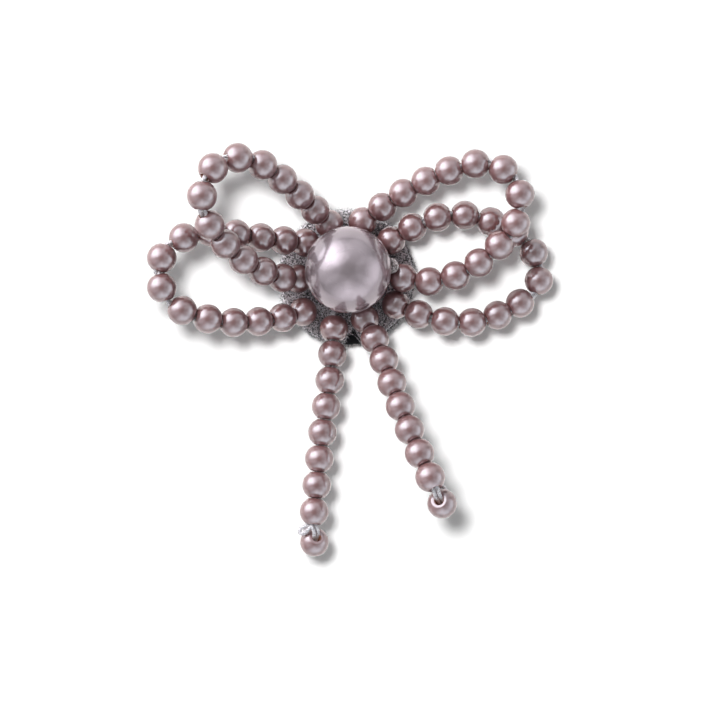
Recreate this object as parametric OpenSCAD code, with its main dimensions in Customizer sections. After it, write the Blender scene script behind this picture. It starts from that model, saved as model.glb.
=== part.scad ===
// Bow brooch: strings of pearl beads sewn to a felt disc, a large pearl as the knot, a brooch pin behind.
// It lies face up on its pin, with +Y towards the top of the bow and the floor at z = 0.
// The tables of the strings are measured from the middle of the felt's top face.

/* [Beads] */
// Diameter of the small beads
bead_d = 6; // [5.6:0.1:6]
// Length of a small bead along its hole, between its flat ends
bead_len = 5.1; // [4.6:0.1:5.1]
// Diameter of the hole in a small bead
bead_hole_d = 1.9; // [1.6:0.1:2.2]
// Beads on each loop of the bow
loop_beads = 14; // [12:1:14]
// Beads on each tail, without its end bead
tail_beads = 8; // [6:1:8]

/* [Large pearl] */
// Diameter of the large pearl
pearl_d = 18; // [16:0.5:18]
// Length of the large pearl along its hole
pearl_len = 17.6; // [16.6:0.1:17.6]
// Diameter of the hole in the large pearl
pearl_hole_d = 2.2; // [2:0.1:3]
// Place of the large pearl to the right of the felt's middle
pearl_x = 0.5; // [0.4:0.05:0.6]
// Place of the large pearl above the felt's middle, towards the top of the bow
pearl_y = 1; // [0.9:0.05:1.1]

/* [Cords] */
// Diameter of the cord through the strings
thread_d = 1; // [0.8:0.1:1.2]
// Diameter of the thick cord of the large pearl
pearl_cord_d = 1.5; // [1.2:0.1:1.6]

/* [Felt and backing] */
// Diameter of the felt disc
felt_d = 28.4; // [28:0.1:29]
// Thickness of the felt disc
felt_t = 2; // [1.5:0.1:3]
// Width of the notch in the felt's lower edge
notch_w = 3.4; // [2:0.1:4]
// Depth of the notch in the felt's lower edge
notch_depth = 3.6; // [2:0.1:4]
// Place of the notch to the right of the felt's middle
notch_x = 1.5; // [1:0.1:2]
// Diameter of the black backing
backing_d = 28.6; // [28:0.1:29]
// Thickness of the black backing
backing_t = 1; // [0.8:0.1:1.5]
// Shift of the backing to the right of the felt
backing_x = 0.3; // [0:0.1:0.5]

/* [Brooch pin] */
// Length of the pin's plate
pin_len = 26; // [24:0.5:27]
// Width of the pin's plate
pin_w = 7; // [6:0.5:8]
// Height of the whole pin
pin_h = 4.5; // [4:0.1:5]
// Thickness of the pin's plate
plate_t = 0.8; // [0.6:0.1:1]
// Diameter of the needle
needle_d = 0.9; // [0.8:0.1:1.2]
// Length of the hinge and of the catch
hinge_len = 3.6; // [3:0.1:4]
// Diameter of the hinge's barrel
barrel_d = 2.8; // [2:0.1:3]
// Place of the pin below the felt's middle, where the brooch balances
pin_y = -1.5; // [-2.5:0.1:-0.5]

/* [Hidden] */
$fn = 48;

// Gap between pieces that lie on each other
seat_gap = 0.1;
// Sides of a cord's section
cord_sides = 8;
// Points on each span of a string's curve
span_points = 10;
// Share of the flat ends' radius that a bend of the string takes up
bend_share = 0.8;
// How far a cord's end runs inwards for each millimetre that it goes down to the felt
dive = 0.6;

// Radius of a bead's flat ends, and half of its length
flat_r = sqrt(pow(bead_d / 2, 2) - pow(bead_len / 2, 2));
half_len = bead_len / 2;
// Heights of the layers over the floor
backing_z = pin_h + seat_gap;
felt_z = backing_z + backing_t + seat_gap;
felt_top = felt_z + felt_t;
// Middle of the large pearl over the felt
pearl_at = [pearl_x, pearl_y, pearl_d / 2 + seat_gap];

// Rows of a string, from its first bead to its last: [right, up the bow, above the felt].
// The curve of the string starts and ends at the first and last row and runs smoothly past the rest.
upper_left_rows = [
    [-3.5, 11, 3.2], [-9.5, 16.5, 11], [-16, 22, 16], [-21.5, 23.5, 19.5], [-27, 21, 23],
    [-29, 13, 24.5], [-26.5, 8, 20.5], [-20.5, 2, 15], [-13.5, -1, 9], [-10, -0.5, 3.2]
];
lower_left_rows = [
    [-8.5, 7, 3.2], [-17.5, 7.5, 9.5], [-27.5, 9, 13], [-32.5, 7.5, 15], [-38, 4.5, 16],
    [-37.5, -5.5, 16], [-31.5, -8.5, 14.5], [-23, -10.5, 11.5], [-13, -9, 7], [-9, -7.5, 3.2]
];
upper_right_rows = [
    [3.5, 11.5, 3.2], [12, 17.5, 6.5], [21, 21.5, 9], [27.5, 23.5, 10.5], [35, 21, 11.5],
    [36.5, 13.5, 12], [34, 8, 11], [26.5, 1, 9.5], [18, -2, 7], [12, -0.5, 5.5]
];
lower_right_rows = [
    [9.5, 7.5, 3.2], [17.5, 12.5, 6.5], [26.5, 13, 5.5], [33.5, 10, 4.5], [39.5, 7, 3.5],
    [41.5, -2.5, 3.5], [37, -5.5, 4], [28, -10.5, 5.5], [18, -9.5, 6.5], [10.5, -6, 3.2]
];
left_tail_rows = [[-2.5, -11, 3.2], [-3, -20.5, 5], [-5, -33, 6], [-6, -43.5, 7], [-6.5, -49, 8]];
right_tail_rows = [[4, -9, 3.2], [7.5, -16, 8], [9.5, -22.5, 11.5], [13, -32, 16], [17, -41, 20]];
// Middle of each end bead, in the same columns, and the direction of its hole's upper end
left_end_at = [-6.5, -55.5, 6];
left_end_axis = [0.2, 0.5, 0.85];
right_end_at = [19.5, -46.5, 17.5];
right_end_axis = [-0.3, 0.35, 0.9];
// Route of the cord round an end bead: [up along its hole, out of its middle towards the tail]
end_loop_rows = [
    [4.3, 1.2], [3.7, 0.3], [2.55, 0], [-2.55, 0], [-3.3, 0.3],
    [-3.8, 1.3], [-3.2, 2.6], [-1.6, 3.6], [0.2, 3.9]
];
// Rows of the thick cord, from inside the large pearl's hole down to the felt
pearl_cord_rows = [
    [8.3, 1, 9.1], [9.6, 1, 9.1], [10.8, 1.8, 8.6], [10.6, 3, 6.8],
    [10.1, 3.3, 4.6], [9.6, 3.3, 2.4], [9.4, 3.3, 0.2]
];

// A vector of length 1 in the same direction
function unit(v) = v / norm(v);

// The rows with one more at each end, so that the curve starts and ends on a row
function padded(rows) =
    let (n = len(rows))
    concat([2 * rows[0] - rows[1]], rows, [2 * rows[n - 1] - rows[n - 2]]);

// A point of the smooth curve, t from 0 to 1 along its span i
function on_span(p, i, t) =
    (pow(1 - t, 3) * p[i] + (3 * pow(t, 3) - 6 * t * t + 4) * p[i + 1]
    + (-3 * pow(t, 3) + 3 * t * t + 3 * t + 1) * p[i + 2] + pow(t, 3) * p[i + 3]) / 6;

// Points along the smooth curve that follows the rows
function curve(rows, steps) =
    let (p = padded(rows), spans = len(rows) - 1)
    concat(
        [for (i = [0:spans - 1], k = [0:steps - 1]) on_span(p, i, k / steps)],
        [on_span(p, spans - 1, 1)]
    );

// Turn of a curve at its point i, in radians
function turn_at(c, i) =
    i == 0 ? 0 : acos(min(1, unit(c[i] - c[i - 1]) * unit(c[i + 1] - c[i]))) * PI / 180;

// Strung length up to each point of a curve: its length, less what the flat ends take up at bends
function strung_lengths(c) = [
    for (
        i = 0, w = 0;
        i < len(c);
        w = i + 1 < len(c) ? w + norm(c[i + 1] - c[i]) - bend_share * flat_r * turn_at(c, i) : w,
        i = i + 1
    ) w
];

// Place on the curve at one strung length
function place_at(c, w, s) =
    [for (k = [0:2]) lookup(s, [for (i = [0:len(c) - 1]) [w[i], c[i][k]]])];

// The beads of a string, evenly strung along its rows: [middle, direction of the hole]
function strung_beads(rows, count) =
    let (
        c = curve(rows, span_points),
        w = strung_lengths(c),
        total = w[len(w) - 1]
    )
    [
        for (i = [0:count - 1])
        let (s = total * i / (count - 1))
        [
            place_at(c, w, s),
            unit(place_at(c, w, min(total, s + half_len)) - place_at(c, w, max(0, s - half_len)))
        ]
    ];

upper_left_beads = strung_beads(upper_left_rows, loop_beads);
lower_left_beads = strung_beads(lower_left_rows, loop_beads);
upper_right_beads = strung_beads(upper_right_rows, loop_beads);
lower_right_beads = strung_beads(lower_right_rows, loop_beads);
left_beads = strung_beads(left_tail_rows, tail_beads);
right_beads = strung_beads(right_tail_rows, tail_beads);
left_end_bead = [left_end_at, unit(left_end_axis)];
right_end_bead = [right_end_at, unit(right_end_axis)];

// The middle of the whole brooch, seen from above
all_beads = concat(
    upper_left_beads, lower_left_beads, upper_right_beads, lower_right_beads,
    left_beads, right_beads, [left_end_bead, right_end_bead]
);
all_x = [for (b = all_beads) b[0].x];
all_y = [for (b = all_beads) b[0].y];
middle = [(min(all_x) + max(all_x)) / 2, (min(all_y) + max(all_y)) / 2];

// Where a bead's cord comes out of it, at the end that its direction points to or at the other
function hole_end(bead, side) = bead[0] + side * half_len * bead[1];

// End of a cord on the felt, inwards of where it leaves its bead
function foot(bead, side) =
    let (
        p = hole_end(bead, side),
        inward = unit([side * bead[1].x, side * bead[1].y]),
        drop = p.z - thread_d / 2 - seat_gap
    )
    [p.x + dive * drop * inward.x, p.y + dive * drop * inward.y, p.z - drop];

// The straight stretches through a string's beads
function through(beads) = [for (b = beads, side = [-1, 1]) hole_end(b, side)];

// Route of a loop's cord, from the felt through its beads and back to the felt
function loop_route(beads) =
    concat([foot(beads[0], -1)], through(beads), [foot(beads[len(beads) - 1], 1)]);

// Route of a tail's cord, from the felt through its beads and round its end bead
function tail_route(beads, end) =
    let (
        leaves = hole_end(beads[len(beads) - 1], 1) - end[0],
        out = unit(leaves - (leaves * end[1]) * end[1])
    )
    concat(
        [foot(beads[0], -1)],
        through(beads),
        [for (r = end_loop_rows) end[0] + r[0] * end[1] + r[1] * out]
    );

// Direction of a route at its point i
function heading(p, i) =
    i == 0 ? unit(p[1] - p[0])
    : i == len(p) - 1 ? unit(p[i] - p[i - 1])
    : unit(unit(p[i + 1] - p[i]) + unit(p[i] - p[i - 1]));

// Points of a round section at a route's point i; a cord never runs along across
function section(p, i, r, across) =
    let (
        ahead = heading(p, i),
        u = unit(cross(across, ahead)),
        v = cross(ahead, u)
    )
    [for (k = [0:cord_sides - 1]) p[i] + r * (cos(360 * k / cord_sides) * u + sin(360 * k / cord_sides) * v)];

// A tube of radius r along a route
module tube(p, r, across) {
    n = cord_sides;
    last = (len(p) - 1) * n;
    polyhedron(
        points = [for (i = [0:len(p) - 1]) each section(p, i, r, across)],
        faces = concat(
            [[for (k = [0:n - 1]) n - 1 - k]],
            [for (i = [0:len(p) - 2], k = [0:n - 1]) [i * n + k, i * n + (k + 1) % n, (i + 1) * n + k]],
            [for (i = [0:len(p) - 2], k = [0:n - 1])
                [i * n + (k + 1) % n, (i + 1) * n + (k + 1) % n, (i + 1) * n + k]],
            [[for (k = [0:n - 1]) last + k]]
        )
    );
}

// Puts a piece that is measured from the middle of the felt's top face into the brooch's own frame
module on_felt() {
    translate([-middle.x, -middle.y, felt_top]) children();
}

// A drilled pearl with flat ends
module drilled_pearl(d, length, hole_d) {
    difference() {
        intersection() {
            sphere(d = d);
            cube([d + 1, d + 1, length], center = true);
        }
        cylinder(d = hole_d, h = d + 1, center = true);
    }
}

// Small beads at their places, with their holes along the string
module bead_string(beads) {
    on_felt()
        for (b = beads)
            translate(b[0])
                rotate([0, acos(b[1].z), atan2(b[1].y, b[1].x)])
                    drilled_pearl(bead_d, bead_len, bead_hole_d);
}

// A string's beads in their colour
module pearl_string(beads) {
    color("rosybrown") bead_string(beads);
}

// A string's cord in its colour
module cord(route, across) {
    color("silver") on_felt() tube(route, thread_d / 2, across);
}

module big_pearl() {
    color("thistle")
        on_felt() translate(pearl_at) rotate([0, 90, 0]) drilled_pearl(pearl_d, pearl_len, pearl_hole_d);
}

module pearl_cord() {
    color("lightgray") on_felt() tube(curve(pearl_cord_rows, 3), pearl_cord_d / 2, [0, 1, 0]);
}

module felt_disc() {
    color("gray")
        translate([-middle.x, -middle.y, felt_z])
            difference() {
                cylinder(d = felt_d, h = felt_t, $fn = 96);
                translate([notch_x, notch_depth - felt_d / 2, -1])
                    linear_extrude(felt_t + 2)
                        polygon([[0, 0], [-notch_w, -2 * notch_depth], [notch_w, -2 * notch_depth]]);
            }
}

module backing_disc() {
    color("black")
        translate([backing_x - middle.x, -middle.y, backing_z])
            cylinder(d = backing_d, h = backing_t, $fn = 96);
}

// The two ears that carry the hinge or the catch
module pin_ears() {
    for (side = [-1, 1])
        translate([-hinge_len / 2, side * (pin_w - plate_t) / 2 - plate_t / 2, 0])
            cube([hinge_len, plate_t, pin_h - plate_t / 2]);
}

module bar_pin() {
    ends_x = (pin_len - hinge_len) / 2;
    needle_z = (pin_h - plate_t) / 2;
    color("darkgray")
        translate([-middle.x, pin_y - middle.y, 0])
            union() {
                translate([-pin_len / 2, -pin_w / 2, pin_h - plate_t]) cube([pin_len, pin_w, plate_t]);
                for (side = [-1, 1])
                    translate([side * ends_x, 0, 0]) pin_ears();
                translate([ends_x, pin_w / 2 - plate_t / 2, needle_z])
                    rotate([90, 0, 0])
                        cylinder(d = barrel_d, h = pin_w - plate_t);
                translate([-ends_x - hinge_len / 2, plate_t / 2 - pin_w / 2, needle_z - needle_d / 2 - plate_t / 2])
                    cube([hinge_len, pin_w - plate_t, plate_t]);
                translate([-ends_x, 0, needle_z])
                    rotate([0, 90, 0])
                        cylinder(d = needle_d, h = 2 * ends_x);
            }
}

big_pearl();
pearl_cord();
felt_disc();
backing_disc();
bar_pin();
pearl_string(upper_left_beads);  // upper_left_loop_beads
pearl_string(lower_left_beads);  // lower_left_loop_beads
pearl_string(upper_right_beads);  // upper_right_loop_beads
pearl_string(lower_right_beads);  // lower_right_loop_beads
pearl_string(left_beads);  // left_tail_beads
pearl_string(right_beads);  // right_tail_beads
pearl_string([left_end_bead]);
pearl_string([right_end_bead]);
cord(loop_route(upper_left_beads), [0, 0, 1]);  // upper_left_loop_thread
cord(loop_route(lower_left_beads), [0, 0, 1]);  // lower_left_loop_thread
cord(loop_route(upper_right_beads), [0, 0, 1]);  // upper_right_loop_thread
cord(loop_route(lower_right_beads), [0, 0, 1]);  // lower_right_loop_thread
cord(tail_route(left_beads, left_end_bead), [1, 0, 0]);  // left_tail_thread
cord(tail_route(right_beads, right_end_bead), [0.9, 0.4, 0]);  // right_tail_thread
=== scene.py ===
"""Bow brooch: strings of pearl beads on a silver cord, sewn to a felt disc round one large pearl.

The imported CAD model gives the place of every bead. Lengths are in metres, and +Y points to the top of the
bow. The main light comes from the upper left, and the camera looks straight down.
"""

import math

import bmesh
import bpy
import numpy as np
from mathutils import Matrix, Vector, noise


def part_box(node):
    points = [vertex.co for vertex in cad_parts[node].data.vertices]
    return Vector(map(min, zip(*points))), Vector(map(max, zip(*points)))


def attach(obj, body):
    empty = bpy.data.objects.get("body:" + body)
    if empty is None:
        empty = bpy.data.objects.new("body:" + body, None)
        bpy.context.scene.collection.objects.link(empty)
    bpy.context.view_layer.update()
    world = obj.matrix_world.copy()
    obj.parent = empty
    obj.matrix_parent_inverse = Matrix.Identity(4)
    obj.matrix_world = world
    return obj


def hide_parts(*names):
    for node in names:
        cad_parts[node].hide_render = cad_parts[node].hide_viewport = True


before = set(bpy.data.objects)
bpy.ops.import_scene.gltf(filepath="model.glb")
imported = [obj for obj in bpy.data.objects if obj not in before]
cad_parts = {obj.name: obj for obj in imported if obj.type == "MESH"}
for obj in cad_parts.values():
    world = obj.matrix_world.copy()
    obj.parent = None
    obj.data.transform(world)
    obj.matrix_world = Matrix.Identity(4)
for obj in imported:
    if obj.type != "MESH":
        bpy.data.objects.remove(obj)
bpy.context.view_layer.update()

MM = 0.001
UP = np.array([0.0, 0.0, 1.0])
RIGHT = np.array([1.0, 0.0, 0.0])

# Small beads: half of the length along the hole, and the radius of the rim's rounding
BEAD_RADIUS = 3.0 * MM
BEAD_HALF_LENGTH = 2.55 * MM
BEAD_HOLE_RADIUS = 0.95 * MM
BEAD_RIM = 0.42 * MM
BEAD_SIDES = 56
# Most that a bead is lengthened at each end to reach the next one, and the gap that is left
BEAD_REACH = 0.2 * MM
BEAD_GAP = 0.16 * MM

# Large pearl
PEARL_RADIUS = 9.0 * MM
PEARL_HALF_LENGTH = 8.8 * MM
PEARL_HOLE_RADIUS = 1.1 * MM
PEARL_RIM = 0.6 * MM
PEARL_SIDES = 160

# Every pearl: the rounding of its hole's edge, the rows of vertices in the hole as shares of half its length,
# how bare of lacquer each row of the rounding is, and how many rows the rim and the dome have
HOLE_LIP = 0.14 * MM
WALL_ROWS = (0.0, 0.4, 0.7, 0.86)
LIP_BARE = (1, 0.6, 0.2, 0, 0)
RIM_ROWS = 6
DOME_ROWS = 14
# How far a pearl may be turned about its hole, in radians, and its tone, from the dark colour (0) to the
# light one (1)
PEARL_SPIN = 6.28
PEARL_TONES = (0.25, 0.75)
# Beads of the left tail that stand apart from their neighbours, counted from the felt
LEFT_TAIL_APART = 2

# Cord: two strands that wind slowly round each other, each of three plies. The radius of a ply is a share of
# the strand's, and a pitch of a metre is too long to show as a twist.
STRAND_RADIUS = 0.44 * MM
STRAND_PITCH = 9.0 * MM
UNTWISTED = 1000 * MM
PLY_SHARE = 0.52
PLY_PITCH = 1.5 * MM
PLIES = 3
PLY_SIDES = 6
# Steps along a cord, rounds of smoothing, and how far it runs on for each metre that it drops to the felt
CORD_STEP = 0.2 * MM
EASE_ROUNDS = 12
CORD_DIVE = 0.6

# Rows of the cord round an end bead: up along its hole, and out of its middle towards the tail
END_LOOP = MM * np.array([
    (4.1, 1.4), (3.5, 0.75), (2.55, 0.42), (-2.55, 0.3), (-3.3, 0.3),
    (-3.8, 1.3), (-3.2, 2.6), (-1.6, 3.6), (0.2, 3.9),
])
# Loose bight of the cord beside the left end bead, from the bead's middle: right, up the bow, up
BIGHT = MM * np.array([
    (-0.2, 4.3, 2.4), (-0.6, 3.7, 2.3), (-1.4, 3.5, 2.2), (-2.3, 3.5, 2.0), (-3.1, 2.9, 1.9),
    (-3.2, 2.2, 1.9), (-2.6, 1.7, 2.0), (-1.8, 2.2, 2.4), (-1.1, 3.0, 2.5), (-0.4, 3.9, 2.5),
])
# Rows of the large pearl's thick cord, from inside the hole down to the felt, from the pearl's middle: right,
# up the bow, up. Its plies wind the other way from the thin cord's, so its pitch is negative.
PEARL_CORD = MM * np.array([
    (7.8, 0, 0), (8.8, 0, 0), (9.6, 0.15, -0.2), (9.8, 0.7, -0.9),
    (9.45, 1.5, -2.3), (9.1, 1.9, -4.3), (8.9, 2.1, -6.6), (8.8, 2.2, -8.9),
])
PEARL_CORD_RADIUS = 0.82 * MM
PEARL_CORD_PITCH = -3.0 * MM
PEARL_CORD_PLIES = 6
PEARL_CORD_PLY = 0.15 * MM
PEARL_CORD_CORE = PEARL_CORD_RADIUS - 2.2 * PEARL_CORD_PLY
PEARL_CORD_SIDES = 12
PEARL_CORD_STEP = 0.12 * MM
PEARL_CORD_ROUNDS = 40

# Felt and backing: the notch, how rough the faces are, and the waves in the edge, each with its height as a
# share of the radius, its number of crests round the disc and its phase
NOTCH_RIGHT = 1.5 * MM
NOTCH_DEPTH = 3.6 * MM
NOTCH_WIDTH = 4.1 * MM
FELT_SIDES = 240
FACE_RINGS = 24
FELT_ROUGH = 0.16 * MM
BACKING_ROUGH = 0.05 * MM
EDGE_WAVES = ((0.006, 7, 1), (0.005, 17, 0), (0.004, 41, 2))
# Lumps of a face: fine ones and broad ones to the metre, and how high the broad ones are against the fine
FINE_LUMPS = 1800
BROAD_LUMPS = 700
BROAD_SHARE = 0.6

# Hairs: how many there are, the vertices along and round each, and the share of its thickness lost at its tip
FELT_HAIRS = 4500
EDGE_HAIRS = 1600
BACKING_HAIRS = 700
HAIR_POINTS = 5
HAIR_SIDES = 3
HAIR_TAPER = 0.6

# Hairs on a face: how far inside the edge the outermost start, and the band where they lie along the edge,
# give or take a swing in radians. Then the range of their lengths in millimetres, the spread of their bends
# in radians, and the ranges of their rise in the middle and of their start above the face, in millimetres.
FACE_HAIR_RADIUS = 0.045 * MM
FACE_HAIR_INSET = 0.1 * MM
EDGE_BAND = 1.2 * MM
BAND_SWING = 0.5
FACE_HAIR_LENGTHS = (0.6, 1.6)
FACE_HAIR_BEND = 1.6
FACE_HAIR_LIFTS = (0.02, 0.3)
FACE_HAIR_HEIGHTS = (-0.05, 0.12)

# Hairs that stand out of an edge: the same, but the swing is a spread about straight outwards, and they start
# at least so far above the underside
EDGE_HAIR_RADIUS = 0.035 * MM
EDGE_HAIR_INSET = 0.25 * MM
EDGE_HAIR_ABOVE = 0.15 * MM
EDGE_HAIR_SWING = 0.8
EDGE_HAIR_LENGTHS = (0.4, 0.95)
EDGE_HAIR_BEND = 1.8
EDGE_HAIR_LIFTS = (-0.15, 0.2)

# How light the felt is, and its hairs are, from the dark colour (0) to the light one (1 and above)
FELT_TONE = 0.58
HAIR_TONES = (0.05, 0.4, 0.75, 1.0, 1.3)

# A thin light grey line across the notch, made as a tube, from the middle of the felt's top face: right, up
# the bow, up
NOTCH_LINE = MM * np.array([
    (0.3, -11.7, -0.3), (0.64, -12.0, -0.1), (1.7, -12.2, 0), (2.5, -13.1, -0.1), (2.9, -13.7, -0.3),
])
NOTCH_LINE_RADIUS = 0.09 * MM
NOTCH_LINE_TONE = 0.7
NOTCH_LINE_STEP = 0.15 * MM
NOTCH_LINE_ROUNDS = 20

# Camera straight above, measured from the middle of the felt's top face
CAMERA_RIGHT = 2.97 * MM
CAMERA_DOWN = 17.6 * MM
CAMERA_HEIGHT = 350 * MM
LENS_MM = 82.6
SENSOR_MM = 36.0

# Lamp to the upper left of the camera
LAMP_LEFT = 39 * MM
LAMP_UP = 45 * MM
LAMP_RADIUS = 28 * MM
LAMP_POWER = 40.0

# Panels round the table: how far away, and the layers of one that fades towards its edge, as shares of its
# size. Layers at the same distance would hide each other from gloss, so each lies a little further out.
PANEL_AWAY = 0.6
PANEL_LAYERS = (1.35, 1.0, 0.65)
LAYER_STEP = 0.03
ONE_LAYER = (1.0,)
COLD_TINT = (1.01, 1.17, 1.3)
PLAIN_TINT = (0.84, 0.86, 0.9)
# Azimuth, elevation, width and height of a panel in degrees, its radiance and its layers; the fills stand at
# even steps all round
FILLS = 6
FILL_PANEL = (34, 64, 74, 0.37, ONE_LAYER)
GLOSS_PANELS = {
    "key": (140, 23, 54, 60, 3.9, PANEL_LAYERS),
    "key_top": (128, 58, 44, 30, 0.8, ONE_LAYER),
    "front": (-88, 15, 58, 66, 1.3, PANEL_LAYERS),
    "right": (-2, 11, 46, 50, 1.4, PANEL_LAYERS),
    "back": (75, 24, 50, 54, 0.5, PANEL_LAYERS),
    "left": (176, 16, 44, 50, 0.45, PANEL_LAYERS),
    "corner": (-45, 10, 46, 50, 0.85, PANEL_LAYERS),
}

# The soft key, farther away than the panels: azimuth, elevation, width and height in degrees
SOFT_KEY = (138, 28, 54, 62)
KEY_RADIANCE = 5.5
KEY_AWAY = 1.5 * PANEL_AWAY
WHITE = (1, 1, 1)

# How bright the room is at its walls and overhead, and the heights of a direction between which that changes,
# where 1 is straight up
ROOM = 0.33
ROOF = 0.4
ROOF_HEIGHTS = (0.86, 0.99)
TABLE_HALF_WIDTH = 1.5

# Seeds of the random draws
LOOP_SEED = 11
TAIL_SEED = 21
END_BEAD_SEED = 23
BIG_PEARL_SEED = 5
FELT_SEED = 31
BACKING_SEED = 32


# Points and directions

def unit(v):
    """The vector, or each row of vectors, at length 1."""
    return v / np.linalg.norm(v, axis=-1, keepdims=True)


def even(points, step):
    """The same line with its points at even steps."""
    steps = np.linalg.norm(np.diff(points, axis=0), axis=1)
    along = np.concatenate([[0.0], np.cumsum(steps)])
    places = np.linspace(0, along[-1], max(3, round(along[-1] / step) + 1))
    return np.stack([np.interp(places, along, points[:, k]) for k in range(3)], axis=1)


def eased(points, rounds):
    """The same line with its corners rounded."""
    points = points.copy()
    for _ in range(rounds):
        points[1:-1] = (points[:-2] + 2 * points[1:-1] + points[2:]) / 4
    return points


def sides_of(points, side=None):
    """Two directions square to a line at each of its points, which turn as little as they can."""
    ahead = unit(np.gradient(points, axis=0))
    if side is None:
        side = np.cross(ahead[0], RIGHT if abs(ahead[0][2]) > 0.9 else UP)
    first = np.empty_like(points)
    for i, direction in enumerate(ahead):
        side = unit(side - (side @ direction) * direction)
        first[i] = side
    return first, np.cross(ahead, first)


def wound(points, radius, pitch, start, side=None):
    """A line that winds round another, starting at a share of a turn."""
    first, second = sides_of(points, side)
    steps = np.linalg.norm(np.diff(points, axis=0), axis=1)
    along = np.concatenate([[0.0], np.cumsum(steps)])
    angle = (2 * math.pi * (along / pitch + start))[:, None]
    return points + radius * (np.cos(angle) * first + np.sin(angle) * second)


# Shapes: each is its vertices and a list of arrays of faces

def between_rings(rings, sides, around=False):
    """Faces between rings of vertices; around joins the last ring to the first."""
    ring, place = np.meshgrid(np.arange(rings if around else rings - 1), np.arange(sides), indexing="ij")
    next_ring, following = (ring + 1) % rings, (place + 1) % sides
    return np.stack([
        ring * sides + place, next_ring * sides + place,
        next_ring * sides + following, ring * sides + following,
    ], axis=-1).reshape(-1, 4)


def lathe(section, sides):
    """A closed section, in rows of radius and height, turned round the Z axis."""
    angle = np.linspace(0, 2 * math.pi, sides, endpoint=False)
    radius, height = section[:, :1], section[:, 1:]
    vertices = np.stack([
        radius * np.cos(angle), radius * np.sin(angle), height * np.ones(sides),
    ], axis=-1).reshape(-1, 3)
    return vertices, [between_rings(len(section), sides, around=True)]


def tube(points, radius, sides):
    """A round tube along a line, closed at both ends."""
    first, second = sides_of(points)
    angle = np.linspace(0, 2 * math.pi, sides, endpoint=False)[None, :, None]
    rings = points[:, None] + radius * (np.cos(angle) * first[:, None] + np.sin(angle) * second[:, None])
    # The corners in the other order, so that the faces look outwards
    quads = between_rings(len(points), sides)[:, [0, 3, 2, 1]]
    start = np.arange(sides)[::-1][None]
    end = (len(points) - 1) * sides + np.arange(sides)[None]
    return rings.reshape(-1, 3), [quads, start, end]


def hairs(roots, headings, lengths, turns, lifts, radius):
    """Short bent hairs, as thin tubes that taper: each starts at a root and turns as it goes."""
    share = np.linspace(0, 1, HAIR_POINTS)
    angle = headings[:, None] + turns[:, None] * share
    step = lengths[:, None] / (len(share) - 1)
    x = roots[:, :1] + np.cumsum(step * np.cos(angle), axis=1)
    y = roots[:, 1:2] + np.cumsum(step * np.sin(angle), axis=1)
    z = roots[:, 2:] + lifts[:, None] * np.sin(math.pi * share)
    points = np.stack([x, y, z], axis=-1)
    side = np.stack([-np.sin(angle), np.cos(angle), np.zeros_like(angle)], axis=-1)
    thickness = radius * (1 - HAIR_TAPER * share)[None, :, None, None]
    corner = np.radians(90 + 360 / HAIR_SIDES * np.arange(HAIR_SIDES))
    rings = points[:, :, None] + thickness * (
        np.cos(corner)[:, None] * side[:, :, None] + np.sin(corner)[:, None] * UP)
    count, long = angle.shape
    base = np.arange(count)[:, None, None] * long * HAIR_SIDES
    ring = base + np.arange(long - 1)[None, :, None] * HAIR_SIDES
    place = np.arange(HAIR_SIDES)[None, None, :]
    following = (place + 1) % HAIR_SIDES
    quads = np.stack([
        ring + place, ring + HAIR_SIDES + place,
        ring + HAIR_SIDES + following, ring + following,
    ], axis=-1).reshape(-1, 4)
    start = base[:, 0] + np.arange(HAIR_SIDES)
    end = base[:, 0] + (long - 1) * HAIR_SIDES + np.arange(HAIR_SIDES)[::-1]
    return rings.reshape(-1, 3), [quads, start, end]


def placed(shape, middle, axis, spin=0.0):
    """The shape with its Z axis along another axis and its origin at a middle."""
    axis = unit(axis)
    side = unit(np.cross(axis, RIGHT if abs(axis[0]) < 0.8 else UP))
    across = np.cross(axis, side)
    first = math.cos(spin) * side + math.sin(spin) * across
    turned = shape[0] @ np.stack([first, np.cross(axis, first), axis])
    return turned + middle, shape[1]


def piece(name, shapes, material, nodes, marks=None):
    """One smooth mesh made of shapes, which stands for CAD nodes; marks are values at its vertices."""
    faces, start = [], 0
    for vertices, groups in shapes:
        for group in groups:
            faces += (group + start).tolist()
        start += len(vertices)
    mesh = bpy.data.meshes.new(f"{name}_visual")
    mesh.from_pydata(np.concatenate([s[0] for s in shapes]).tolist(), [], faces)
    for mark, values in (marks or {}).items():
        attribute = mesh.attributes.new(mark, "FLOAT", "POINT")
        attribute.data.foreach_set("value", np.concatenate(values).astype(np.float32))
    mesh.shade_smooth()
    mesh.materials.append(material)
    made = bpy.data.objects.new(f"{name}_visual", mesh)
    bpy.context.scene.collection.objects.link(made)
    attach(made, "root")
    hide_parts(*nodes)
    return made


# What the CAD nodes say

def solids_of(node):
    """Vertices and triangles of each loose solid of a CAD node."""
    mesh = bmesh.new()
    mesh.from_mesh(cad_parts[node].data)
    bmesh.ops.remove_doubles(mesh, verts=mesh.verts, dist=1e-6)
    bmesh.ops.triangulate(mesh, faces=mesh.faces)
    left = set(mesh.verts)
    found = []
    for first in mesh.verts:
        if first not in left:
            continue
        left.discard(first)
        edge, solid = [first], {first: 0}
        while edge:
            near = [e.other_vert(v) for v in edge for e in v.link_edges]
            edge = [v for v in dict.fromkeys(near) if v in left]
            left.difference_update(edge)
            for v in edge:
                solid[v] = len(solid)
        faces = dict.fromkeys(f for v in solid for f in v.link_faces)
        triangles = np.array([[solid[v] for v in f.verts] for f in faces])
        found.append((np.array([v.co for v in solid]), triangles))
    mesh.free()
    return found


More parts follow.
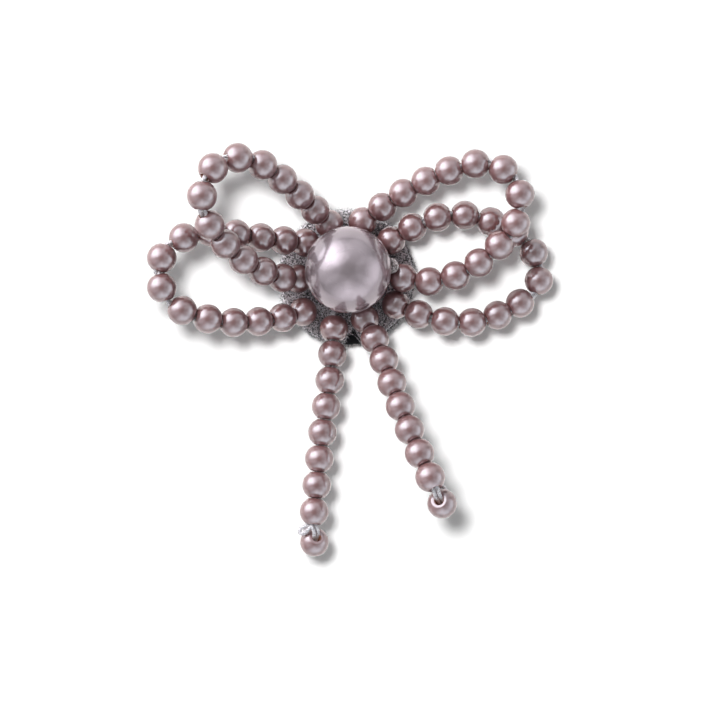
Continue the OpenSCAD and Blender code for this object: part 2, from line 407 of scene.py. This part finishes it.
def middle_and_axis(vertices, triangles):
    """Middle of a drilled bead, and the direction of its hole, along which it is shortest."""
    middle = (vertices.min(0) + vertices.max(0)) / 2
    for _ in range(2):
        a, b, c = (vertices[triangles[:, k]] - middle for k in range(3))
        volumes = (a * np.cross(b, c)).sum(1)
        middle = middle + (volumes[:, None] * (a + b + c)).sum(0) / (4 * volumes.sum())
    corners = np.stack([a, b, c, a + b + c])
    spread = np.einsum("i,kij,kil->jl", volumes / volumes.sum(), corners, corners)
    return middle, np.linalg.eigh(spread)[1][:, 0]


def beads_of(node):
    """Middle and hole direction of each bead of a string, from left to right."""
    found = [middle_and_axis(*solid) for solid in solids_of(node)]
    return sorted(found, key=lambda bead: bead[0][0])


def ends_of(beads):
    """Both ends of each bead's hole, and how far each is from the next bead's."""
    ends = np.array([[m - BEAD_HALF_LENGTH * a, m + BEAD_HALF_LENGTH * a] for m, a in beads])
    gaps = np.array([
        [np.linalg.norm(np.delete(ends, i, 0) - e, axis=-1).min() for e in pair]
        for i, pair in enumerate(ends)
    ])
    return ends, gaps


def hole_ends(beads):
    """Both ends of each bead's hole, in the order in which the cord runs, starting at the felt."""
    ends, gaps = ends_of(beads)
    loose = np.argsort(-gaps, axis=None)[:2]
    here = min(loose, key=lambda k: np.linalg.norm(ends.reshape(-1, 3)[k] - felt_middle))
    order, left = [], set(range(len(beads)))
    while left:
        i, k = divmod(int(here), 2)
        order += [ends[i][k], ends[i][1 - k]]
        left.discard(i)
        if left:
            here = min(
                (2 * j + m for j in left for m in (0, 1)),
                key=lambda n: np.linalg.norm(ends.reshape(-1, 3)[n] - order[-1]))
    return np.array(order)


pearl_low, pearl_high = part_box("big_pearl")
felt_low, felt_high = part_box("felt_disc")
backing_low, backing_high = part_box("backing_disc")
felt_radius = (felt_high.x - felt_low.x) / 2
felt_middle = np.array([(felt_low.x + felt_high.x) / 2, felt_high.y - felt_radius, felt_high.z])
pearl_middle = np.array((pearl_low + pearl_high) / 2)
camera_place = Vector(felt_middle) + Vector((CAMERA_RIGHT, -CAMERA_DOWN, CAMERA_HEIGHT))


# Materials

def add(tree, kind, **settings):
    """A node with some of its properties and inputs set; a property's name is in small letters."""
    made = tree.nodes.new(kind)
    for name, value in settings.items():
        if name.islower() and hasattr(made, name):
            setattr(made, name, value)
        else:
            made.inputs[name.replace("_", " ")].default_value = value
    return made


def finish_of(name):
    """A new material with a Principled shader: the material, its node tree and the shader."""
    material = bpy.data.materials.new(name)
    material.use_nodes = True
    tree = material.node_tree
    tree.nodes.clear()
    shader = add(tree, "ShaderNodeBsdfPrincipled")
    output = add(tree, "ShaderNodeOutputMaterial")
    tree.links.new(shader.outputs["BSDF"], output.inputs["Surface"])
    return material, tree, shader


def speckle(tree, scale, detail=2.0, rough=0.5):
    """Noise in the object's own space, at a number of spots to the metre."""
    place = add(tree, "ShaderNodeTexCoord")
    spots = add(tree, "ShaderNodeTexNoise", Scale=scale, Detail=detail, Roughness=rough)
    tree.links.new(place.outputs["Object"], spots.inputs["Vector"])
    return spots.outputs["Fac"]


def stretched(tree, value, low, high, to_low=0.0, to_high=1.0):
    """A value with one range made into another."""
    made = add(tree, "ShaderNodeMapRange", From_Min=low, From_Max=high, To_Min=to_low, To_Max=to_high)
    tree.links.new(value, made.inputs["Value"])
    return made.outputs["Result"]


def mark(tree, name):
    """A value that the mesh carries at its vertices."""
    made = add(tree, "ShaderNodeAttribute", attribute_name=name)
    return made.outputs["Fac"]


def mixed(tree, share, first, second):
    """Two colours mixed by a share; each is a colour or another node's output."""
    made = add(tree, "ShaderNodeMix", data_type="RGBA")
    tree.links.new(share, made.inputs[0])
    for socket, colour in ((made.inputs[6], first), (made.inputs[7], second)):
        if isinstance(colour, tuple):
            socket.default_value = (*colour, 1)
        else:
            tree.links.new(colour, socket)
    return made.outputs[2]


def bumped(tree, shader, height, distance, strength=1.0):
    """Gives the shader a bump from a height."""
    made = add(tree, "ShaderNodeBump", Distance=distance, Strength=strength)
    tree.links.new(height, made.inputs["Height"])
    tree.links.new(made.outputs["Normal"], shader.inputs["Normal"])


def pearl_finish(name, dark, light, bare, edge, metallic, roughness, coat):
    """Pearl lacquer: tinted mica under a clear varnish, cloudy in places, bare in the hole.

    The edge colour tints the mica's gloss, and the coat is the varnish's weight, IOR and roughness.
    """
    material, tree, shader = finish_of(name)
    cloud = stretched(tree, speckle(tree, 320, 3), 0.3, 0.7, -0.25, 0.25)
    tone = add(tree, "ShaderNodeMath", operation="ADD")
    tree.links.new(cloud, tone.inputs[0])
    tree.links.new(mark(tree, "tone"), tone.inputs[1])
    lacquer = mixed(tree, tone.outputs[0], dark, light)
    tree.links.new(mixed(tree, mark(tree, "bore"), lacquer, bare), shader.inputs["Base Color"])
    rough = stretched(tree, speckle(tree, 900, 4), 0.3, 0.7, roughness - 0.03, roughness + 0.03)
    tree.links.new(rough, shader.inputs["Roughness"])
    tree.links.new(stretched(tree, mark(tree, "bore"), 0, 1, metallic, 0), shader.inputs["Metallic"])
    shader.inputs["IOR"].default_value = 1.6
    shader.inputs["Specular Tint"].default_value = (*edge, 1)
    shader.inputs["Specular IOR Level"].default_value = 0.4
    for socket, value in zip(("Coat Weight", "Coat IOR", "Coat Roughness"), coat):
        shader.inputs[socket].default_value = value
    return material


def cord_finish(name, dark, light, metallic, glints_per_metre):
    """Silver cord: metallic and grey threads, whose light specks in the base colour are partly the silver
    threads and partly painted glints.
    """
    material, tree, shader = finish_of(name)
    # Painted glints: the light specks in the base colour stand in for glints of light on the cord, besides
    # its real light and dark threads.
    painted_glints_and_threads = stretched(tree, speckle(tree, glints_per_metre, 3, 0.7), 0.41, 0.57)
    tree.links.new(mixed(tree, painted_glints_and_threads, dark, light), shader.inputs["Base Color"])
    shader.inputs["Metallic"].default_value = metallic
    shader.inputs["Roughness"].default_value = 0.34
    bumped(tree, shader, speckle(tree, 7000, 2), 0.08 * MM)
    return material


def felt_finish():
    """Grey felt of light and dark hairs."""
    material, tree, shader = finish_of("felt")
    fleck = stretched(tree, speckle(tree, 2600, 1, 0.8), 0.36, 0.64, -0.95, 0.95)
    tone = add(tree, "ShaderNodeMath", operation="ADD", use_clamp=True)
    tree.links.new(fleck, tone.inputs[0])
    tree.links.new(mark(tree, "tone"), tone.inputs[1])
    colour = mixed(tree, tone.outputs[0], (0.02, 0.018, 0.02), (0.95, 0.9, 0.94))
    tree.links.new(colour, shader.inputs["Base Color"])
    shader.inputs["Roughness"].default_value = 0.62
    shader.inputs["Sheen Weight"].default_value = 0.35
    bumped(tree, shader, speckle(tree, 3500, 4), 0.15 * MM)
    return material


def backing_finish():
    """Matte black felt."""
    material, tree, shader = finish_of("backing")
    fleck = stretched(tree, speckle(tree, 3000, 3, 0.7), 0.35, 0.7)
    colour = mixed(tree, fleck, (0.003, 0.003, 0.004), (0.02, 0.02, 0.022))
    tree.links.new(colour, shader.inputs["Base Color"])
    shader.inputs["Roughness"].default_value = 0.85
    shader.inputs["Specular IOR Level"].default_value = 0.2
    bumped(tree, shader, speckle(tree, 3500, 4), 0.2 * MM)
    return material


def metal_finish():
    """Nickel-plated steel with fine scratches along the pin."""
    material, tree, shader = finish_of("pin_metal")
    place = add(tree, "ShaderNodeTexCoord")
    along = add(tree, "ShaderNodeMapping", Scale=(1.0, 14.0, 14.0))
    grain = add(tree, "ShaderNodeTexNoise", Scale=700.0, Detail=4.0)
    tree.links.new(place.outputs["Object"], along.inputs["Vector"])
    tree.links.new(along.outputs["Vector"], grain.inputs["Vector"])
    worn = stretched(tree, speckle(tree, 350, 3), 0.4, 0.65)
    colour = mixed(tree, worn, (0.62, 0.61, 0.6), (0.72, 0.71, 0.7))
    tree.links.new(colour, shader.inputs["Base Color"])
    shader.inputs["Metallic"].default_value = 1.0
    tree.links.new(stretched(tree, grain.outputs["Fac"], 0.3, 0.7, 0.2, 0.42), shader.inputs["Roughness"])
    bumped(tree, shader, grain.outputs["Fac"], 0.01 * MM)
    return material


def floor_finish():
    """White table."""
    material, tree, shader = finish_of("floor")
    tint = stretched(tree, speckle(tree, 8, 2), 0.3, 0.7)
    colour = mixed(tree, tint, (0.86, 0.86, 0.86), (0.88, 0.88, 0.88))
    tree.links.new(colour, shader.inputs["Base Color"])
    shader.inputs["Roughness"].default_value = 0.7
    shader.inputs["Specular IOR Level"].default_value = 0.1
    return material


small_pearl = pearl_finish(
    "small_pearl", dark=(0.182, 0.074, 0.073), light=(0.23, 0.098, 0.096), bare=(0.8, 0.48, 0.36),
    edge=(1, 0.95, 0.97), metallic=0.2, roughness=0.32, coat=(0.8, 2.4, 0.19))
large_pearl = pearl_finish(
    "large_pearl", dark=(0.322, 0.272, 0.298), light=(0.355, 0.3, 0.328), bare=(0.8, 0.5, 0.38),
    edge=(0.95, 0.84, 0.86), metallic=0.7, roughness=0.24, coat=(1.0, 1.48, 0.1))
silver_cord = cord_finish(
    "silver_cord", dark=(0.3, 0.26, 0.27), light=(0.97, 0.93, 0.96), metallic=0.3, glints_per_metre=5200)
grey_cord = cord_finish(
    "grey_cord", dark=(0.1, 0.075, 0.075), light=(0.85, 0.77, 0.77), metallic=0.1, glints_per_metre=2800)
felt = felt_finish()
backing = backing_finish()
pin_metal = metal_finish()
floor_white = floor_finish()


# Pearls

def pearl_section(radius, half_length, hole_radius, rim):
    """Closed section of a drilled pearl: rows of radius and height, and how bare of lacquer each row is."""
    rim_height = half_length - rim
    rim_middle = math.sqrt((radius - rim) ** 2 - rim_height ** 2)
    meets = math.atan2(rim_height, rim_middle)
    wall = [(hole_radius, share * half_length) for share in WALL_ROWS]
    lip = [
        (hole_radius + HOLE_LIP * (1 - math.cos(a)), half_length - HOLE_LIP * (1 - math.sin(a)))
        for a in np.linspace(0, math.pi / 2, len(LIP_BARE))
    ]
    rim_arc = [
        (rim_middle + rim * math.cos(a), rim_height + rim * math.sin(a))
        for a in np.linspace(math.pi / 2, meets, RIM_ROWS)
    ]
    dome = [
        (radius * math.cos(a), radius * math.sin(a))
        for a in np.linspace(meets, 0, DOME_ROWS + 1)[1:]
    ]
    upper = np.array(wall + lip + rim_arc + dome)
    lower = upper[-2:0:-1] * (1, -1)
    bore = np.concatenate([np.ones(len(WALL_ROWS)), LIP_BARE, np.zeros(RIM_ROWS + DOME_ROWS)])
    return np.concatenate([upper, lower]), np.concatenate([bore, bore[-2:0:-1]])


def pearls(name, places, half_lengths, radius, hole_radius, rim, sides, material, seed):
    """Drilled pearls at their places, as one piece."""
    rng = np.random.default_rng(seed)
    shapes, tones, bores = [], [], []
    for (middle, axis), half_length in zip(places, half_lengths):
        section, bore = pearl_section(radius, half_length, hole_radius, rim)
        shapes.append(placed(lathe(section, sides), middle, axis, rng.uniform(0, PEARL_SPIN)))
        tones.append(np.full(len(section) * sides, rng.uniform(*PEARL_TONES)))
        bores.append(np.repeat(bore, sides))
    return piece(name, shapes, material, [name], {"tone": tones, "bore": bores})


def small_pearls(name, seed, apart=0):
    """A string's beads, which all but touch, save for a number of them nearest the felt; or an end bead."""
    places = beads_of(name)
    half_lengths = np.full(len(places), BEAD_HALF_LENGTH)
    if len(places) > 1:
        half_lengths += np.clip((ends_of(places)[1].min(axis=1) - BEAD_GAP) / 2, 0, BEAD_REACH)
        from_felt = np.argsort([np.linalg.norm(middle - felt_middle) for middle, _ in places])
        half_lengths[from_felt[:apart]] = BEAD_HALF_LENGTH
    pearls(name, places, half_lengths, BEAD_RADIUS, BEAD_HOLE_RADIUS, BEAD_RIM,
           BEAD_SIDES, small_pearl, seed)
    return places


# Cords

def strand(route, turn):
    """Three plies that wind round one line."""
    ply = STRAND_RADIUS * PLY_SHARE
    return [
        tube(wound(route, STRAND_RADIUS - ply, PLY_PITCH, turn + k / PLIES), ply, PLY_SIDES)
        for k in range(PLIES)
    ]


def strand_line(route):
    """A cord's route with even steps and its corners rounded."""
    return eased(even(route, CORD_STEP), EASE_ROUNDS)


def doubled(route, pitch=STRAND_PITCH, side=None):
    """Two strands side by side along a route, winding slowly round each other."""
    line = strand_line(route)
    return [
        shape
        for start in (0.0, 0.5)
        for shape in strand(wound(line, STRAND_RADIUS, pitch, start, side), start)
    ]


def foot(end, way):
    """Where a cord meets the felt, when it leaves the end of a bead's hole in a given way."""
    drop = end[2] - felt_middle[2]
    return np.array([*(end[:2] + CORD_DIVE * drop * unit(way[:2])), felt_middle[2]])


def loop_cord(name, beads):
    """The cord of a loop, from the felt through its beads and back."""
    ends = hole_ends(beads)
    start = foot(ends[0], ends[0] - ends[1])
    stop = foot(ends[-1], ends[-1] - ends[-2])
    route = np.concatenate([[start], ends, [stop]])
    piece(name, doubled(route), silver_cord, [name])


def tail_cord(name, beads, end_bead, bight):
    """The cord of a tail, from the felt through its beads, and untwisted round its end bead."""
    ends = hole_ends(beads)
    middle, axis = end_bead
    axis = axis if axis[2] > 0 else -axis
    towards = ends[-1] - middle
    out = unit(towards - (towards @ axis) * axis)
    loop = middle + END_LOOP[:, :1] * axis + END_LOOP[:, 1:] * out
    shapes = doubled(np.concatenate([[foot(ends[0], ends[0] - ends[1])], ends]))
    shapes += doubled(np.concatenate([ends[-2:], loop]), UNTWISTED, np.cross(axis, out))
    if bight is not None:
        shapes += strand(strand_line(middle + bight), 0.0)
    piece(name, shapes, silver_cord, [name])


def pearl_cord():
    """The thick cord of the large pearl: plies that wind round a core."""
    route = eased(even(pearl_middle + PEARL_CORD, PEARL_CORD_STEP), PEARL_CORD_ROUNDS)
    shapes = [tube(route, PEARL_CORD_CORE, PEARL_CORD_SIDES)]
    for k in range(PEARL_CORD_PLIES):
        ply = wound(route, PEARL_CORD_RADIUS - PEARL_CORD_PLY, PEARL_CORD_PITCH, k / PEARL_CORD_PLIES)
        shapes.append(tube(ply, PEARL_CORD_PLY, PLY_SIDES))
    piece("pearl_cord", shapes, grey_cord, ["pearl_cord"])


# Felt and backing

def cut_radius(angle, radius, notched):
    """How far a round disc reaches at each angle, with a wavering edge and its notch."""
    share = np.ones_like(angle)
    for height, waves, phase in EDGE_WAVES:
        share += height * np.sin(waves * angle + phase)
    reach = radius * share
    if notched:
        apex = np.array([NOTCH_RIGHT, NOTCH_DEPTH - radius])
        for side in (-1, 1):
            edge = np.array([side * NOTCH_WIDTH, -2 * NOTCH_DEPTH])
            across = np.cos(angle) * edge[1] - np.sin(angle) * edge[0]
            meets = (apex[0] * edge[1] - apex[1] * edge[0]) / np.where(abs(across) < 1e-9, 1e-9, across)
            point = meets[:, None] * np.stack([np.cos(angle), np.sin(angle)], axis=-1)
            beyond = (point - apex) @ edge
            reach = np.where((meets > 0) & (beyond >= 0), np.minimum(reach, meets), reach)
    return reach


def disc(middle, radius, bottom, top, notched, rough):
    """A round disc of felt with a soft edge and an uneven face."""
    angle = np.linspace(0, 2 * math.pi, FELT_SIDES, endpoint=False)
    reach = cut_radius(angle, radius, notched)
    thick = top - bottom
    # Rows of share of the radius and height: out over the face, round the edge, and back in underneath
    rows = [(share, top) for share in np.linspace(0.02, 0.975, FACE_RINGS)]
    rows += [(0.99, top - 0.08 * thick), (1.0, top - 0.3 * thick), (1.0, bottom + 0.3 * thick)]
    rows += [(0.99, bottom + 0.05 * thick), (0.97, bottom), (0.5, bottom), (0.02, bottom)]
    vertices = np.array([
        (middle[0] + s * r * math.cos(a), middle[1] + s * r * math.sin(a), z)
        for s, z in rows for a, r in zip(angle, reach)
    ])
    for v in vertices:
        if v[2] > bottom + 0.5 * thick:
            fine, broad = noise.noise(Vector(v) * FINE_LUMPS), noise.noise(Vector(v) * BROAD_LUMPS)
            v[2] += rough * fine + BROAD_SHARE * rough * broad
    first = np.arange(FELT_SIDES)[None]
    last = (len(rows) - 1) * FELT_SIDES + np.arange(FELT_SIDES)[::-1][None]
    return vertices, [between_rings(len(rows), FELT_SIDES), first, last]


def face_hairs(rng, count, middle, radius, top, notched):
    """Hairs that lie over a disc's top face, those that would reach past its edge left out."""
    angle = rng.uniform(0, 2 * math.pi, count)
    reach = cut_radius(angle, radius, notched) - FACE_HAIR_INSET
    distance = reach * np.sqrt(rng.uniform(0.1, 1, count))
    roots = np.stack([
        middle[0] + distance * np.cos(angle), middle[1] + distance * np.sin(angle),
        top + rng.uniform(*FACE_HAIR_HEIGHTS, count) * MM,
    ], axis=-1)
    headings = rng.uniform(0, 2 * math.pi, count)
    along_edge = angle + math.pi / 2 + rng.uniform(-BAND_SWING, BAND_SWING, count)
    headings = np.where(distance > reach - EDGE_BAND, along_edge, headings)
    lengths = rng.uniform(*FACE_HAIR_LENGTHS, count) * MM
    turns = rng.normal(0, FACE_HAIR_BEND, count)
    lifts = rng.uniform(*FACE_HAIR_LIFTS, count) * MM
    inside = np.full(count, True)
    for share in (0.5, 1.0):
        way = headings + 0.5 * share * turns
        ahead = np.stack([np.cos(way), np.sin(way)], axis=-1)
        tips = roots[:, :2] - middle[:2] + share * lengths[:, None] * ahead
        edge = cut_radius(np.arctan2(tips[:, 1], tips[:, 0]) % (2 * math.pi), radius, notched)
        inside &= np.linalg.norm(tips, axis=1) < edge
    kept = [values[inside] for values in (roots, headings, lengths, turns, lifts)]
    return hairs(*kept, FACE_HAIR_RADIUS)


def edge_hairs(rng, count, middle, radius, bottom, top, notched):
    """Hairs that stand out of a disc's edge."""
    angle = rng.uniform(0, 2 * math.pi, count)
    reach = cut_radius(angle, radius, notched) - EDGE_HAIR_INSET
    roots = np.stack([
        middle[0] + reach * np.cos(angle), middle[1] + reach * np.sin(angle),
        rng.uniform(bottom + EDGE_HAIR_ABOVE, top, count),
    ], axis=-1)
    headings = angle + rng.normal(0, EDGE_HAIR_SWING, count)
    lengths = rng.uniform(*EDGE_HAIR_LENGTHS, count) * MM
    turns = rng.normal(0, EDGE_HAIR_BEND, count)
    lifts = rng.uniform(*EDGE_HAIR_LIFTS, count) * MM
    return hairs(roots, headings, lengths, turns, lifts, EDGE_HAIR_RADIUS)


def felt_piece():
    """The grey felt disc, its hairs and a thin light grey line across its notch."""
    rng = np.random.default_rng(FELT_SEED)
    bottom, top = felt_low.z, felt_high.z
    shapes = [
        disc(felt_middle, felt_radius, bottom, top, True, FELT_ROUGH),
        face_hairs(rng, FELT_HAIRS, felt_middle, felt_radius, top, True),
        edge_hairs(rng, EDGE_HAIRS, felt_middle, felt_radius, bottom, top, True),
    ]
    tones = [np.full(len(shapes[0][0]), FELT_TONE)]
    per_hair = HAIR_POINTS * HAIR_SIDES
    for vertices, _ in shapes[1:]:
        tones.append(np.repeat(rng.choice(HAIR_TONES, len(vertices) // per_hair), per_hair))
    # A thin light grey line across the notch, made as a tube with a light tone of the felt.
    notch_line = eased(even(felt_middle + NOTCH_LINE, NOTCH_LINE_STEP), NOTCH_LINE_ROUNDS)
    shapes.append(tube(notch_line, NOTCH_LINE_RADIUS, PLY_SIDES))
    tones.append(np.full(len(shapes[-1][0]), NOTCH_LINE_TONE))
    piece("felt_disc", shapes, felt, ["felt_disc"], {"tone": tones})


def backing_piece():
    """The black backing and its hairs."""
    rng = np.random.default_rng(BACKING_SEED)
    radius = (backing_high.x - backing_low.x) / 2
    middle = np.array((backing_low + backing_high) / 2)
    shapes = [
        disc(middle, radius, backing_low.z, backing_high.z, False, BACKING_ROUGH),
        edge_hairs(rng, BACKING_HAIRS, middle, radius, backing_low.z, backing_high.z, False),
    ]
    piece("backing_disc", shapes, backing, ["backing_disc"])


# The brooch

for number, corner in enumerate(("upper_left", "lower_left", "upper_right", "lower_right")):
    loop_beads = small_pearls(f"{corner}_loop_beads", LOOP_SEED + number)
    loop_cord(f"{corner}_loop_thread", loop_beads)
for number, side in enumerate(("left", "right")):
    apart, bight = (LEFT_TAIL_APART, BIGHT) if side == "left" else (0, None)
    tail_beads = small_pearls(f"{side}_tail_beads", TAIL_SEED + number, apart)
    end_bead = small_pearls(f"{side}_end_bead", END_BEAD_SEED + number)[0]
    tail_cord(f"{side}_tail_thread", tail_beads, end_bead, bight)

big_pearl = pearls(
    "big_pearl", [(pearl_middle, RIGHT)], [PEARL_HALF_LENGTH], PEARL_RADIUS, PEARL_HOLE_RADIUS,
    PEARL_RIM, PEARL_SIDES, large_pearl, BIG_PEARL_SEED)
pearl_cord()
felt_piece()
backing_piece()
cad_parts["bar_pin"].data.materials.clear()
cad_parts["bar_pin"].data.materials.append(pin_metal)


# The studio

def floor():
    """A wide white table."""
    half = TABLE_HALF_WIDTH
    corners = [(-half, -half, 0), (half, -half, 0), (half, half, 0), (-half, half, 0)]
    mesh = bpy.data.meshes.new("floor")
    mesh.from_pydata(corners, [], [(0, 1, 2, 3)])
    mesh.materials.append(floor_white)
    made = bpy.data.objects.new("floor", mesh)
    bpy.context.scene.collection.objects.link(made)
    return made


def aim(made, place, target):
    """Puts a light at a place, facing a target."""
    made.location = place
    made.rotation_mode = "QUATERNION"
    made.rotation_quaternion = (Vector(target) - Vector(place)).to_track_quat("-Z", "Y")


def panel(name, azimuth, elevation, width, height, radiance, colour, away=PANEL_AWAY):
    """A softbox that only gloss sees, with angles in degrees: azimuth 0 is to the right, 90 up the bow."""
    light = bpy.data.lights.new(name, "AREA")
    light.shape = "ELLIPSE"
    light.size = 2 * away * math.tan(math.radians(width / 2))
    light.size_y = 2 * away * math.tan(math.radians(height / 2))
    light.energy = radiance * math.pi * light.size * light.size_y * math.pi / 4
    light.color = colour
    made = bpy.data.objects.new(name, light)
    bpy.context.scene.collection.objects.link(made)
    a, e = math.radians(azimuth), math.radians(elevation)
    place = away * np.array([math.cos(a) * math.cos(e), math.sin(a) * math.cos(e), math.sin(e)])
    aim(made, place, (0, 0, 0))
    made.visible_diffuse = False
    return made


def softboxes(name, azimuth, elevation, width, height, radiance, layers, colour, lit):
    """A softbox that fades towards its edge, in layers one behind the other, each smaller than the last."""
    for layer, share in enumerate(layers):
        made = panel(f"{name}_{layer}", azimuth, elevation, share * width, share * height,
                     radiance / len(layers), colour, (1 + LAYER_STEP * layer) * PANEL_AWAY)
        made.light_linking.receiver_collection = lit


def receivers(name, thing, state):
    """What a light falls on: one thing alone (INCLUDE), or all but that thing (EXCLUDE)."""
    group = bpy.data.collections.new(name)
    group.objects.link(thing)
    group.collection_objects[0].light_linking.link_state = state
    return group


def overhead_lamp(table):
    """The lamp that casts the soft shadows on the table, equally bright all over it."""
    light = bpy.data.lights.new("overhead", "POINT")
    light.energy = LAMP_POWER
    light.shadow_soft_size = LAMP_RADIUS
    light.use_nodes = True
    tree = light.node_tree
    falloff = add(tree, "ShaderNodeLightFalloff", Strength=1.0)
    tree.links.new(falloff.outputs["Constant"], tree.nodes["Emission"].inputs["Strength"])
    made = bpy.data.objects.new("overhead", light)
    bpy.context.scene.collection.objects.link(made)
    made.location = camera_place + Vector((-LAMP_LEFT, LAMP_UP, 0))
    made.visible_glossy = False
    made.light_linking.receiver_collection = receivers("table", table, "INCLUDE")


def soft_key(table):
    """The light from the upper left that falls on the brooch."""
    made = panel("soft_key", *SOFT_KEY, KEY_RADIANCE, WHITE, KEY_AWAY)
    made.visible_diffuse = True
    made.visible_glossy = False
    made.light_linking.receiver_collection = receivers("all_but_table", table, "EXCLUDE")


def room():
    """The dim room, a little brighter overhead."""
    world = bpy.data.worlds.new("room")
    bpy.context.scene.world = world
    world.use_nodes = True
    tree = world.node_tree
    place = add(tree, "ShaderNodeTexCoord")
    parts = add(tree, "ShaderNodeSeparateXYZ")
    tree.links.new(place.outputs["Generated"], parts.inputs[0])
    level = stretched(tree, parts.outputs["Z"], *ROOF_HEIGHTS, ROOM, ROOF)
    tree.links.new(level, tree.nodes["Background"].inputs["Color"])


def panels(name, tint, lit):
    """The softboxes that show in the gloss of what they are lit for, with a tint."""
    for azimuth in range(0, 360, 360 // FILLS):
        softboxes(f"{name}_fill_{azimuth}", azimuth, *FILL_PANEL, tint, lit)
    for side, place in GLOSS_PANELS.items():
        softboxes(f"{name}_{side}", *place, tint, lit)


def studio(table):
    """A lamp for the shadows, a soft key, and panels for the gloss, colder for all but the large pearl."""
    overhead_lamp(table)
    soft_key(table)
    room()
    panels("cold", COLD_TINT, receivers("all_but_large_pearl", big_pearl, "EXCLUDE"))
    panels("plain", PLAIN_TINT, receivers("large_pearl", big_pearl, "INCLUDE"))


def camera():
    """The camera of the photograph: straight above the brooch."""
    data = bpy.data.cameras.new("camera")
    data.lens = LENS_MM
    data.sensor_width = SENSOR_MM
    data.clip_start = 0.01
    made = bpy.data.objects.new("camera", data)
    bpy.context.scene.collection.objects.link(made)
    made.location = camera_place
    bpy.context.scene.camera = made


studio(floor())
camera()
bpy.context.scene.view_settings.view_transform = "Standard"
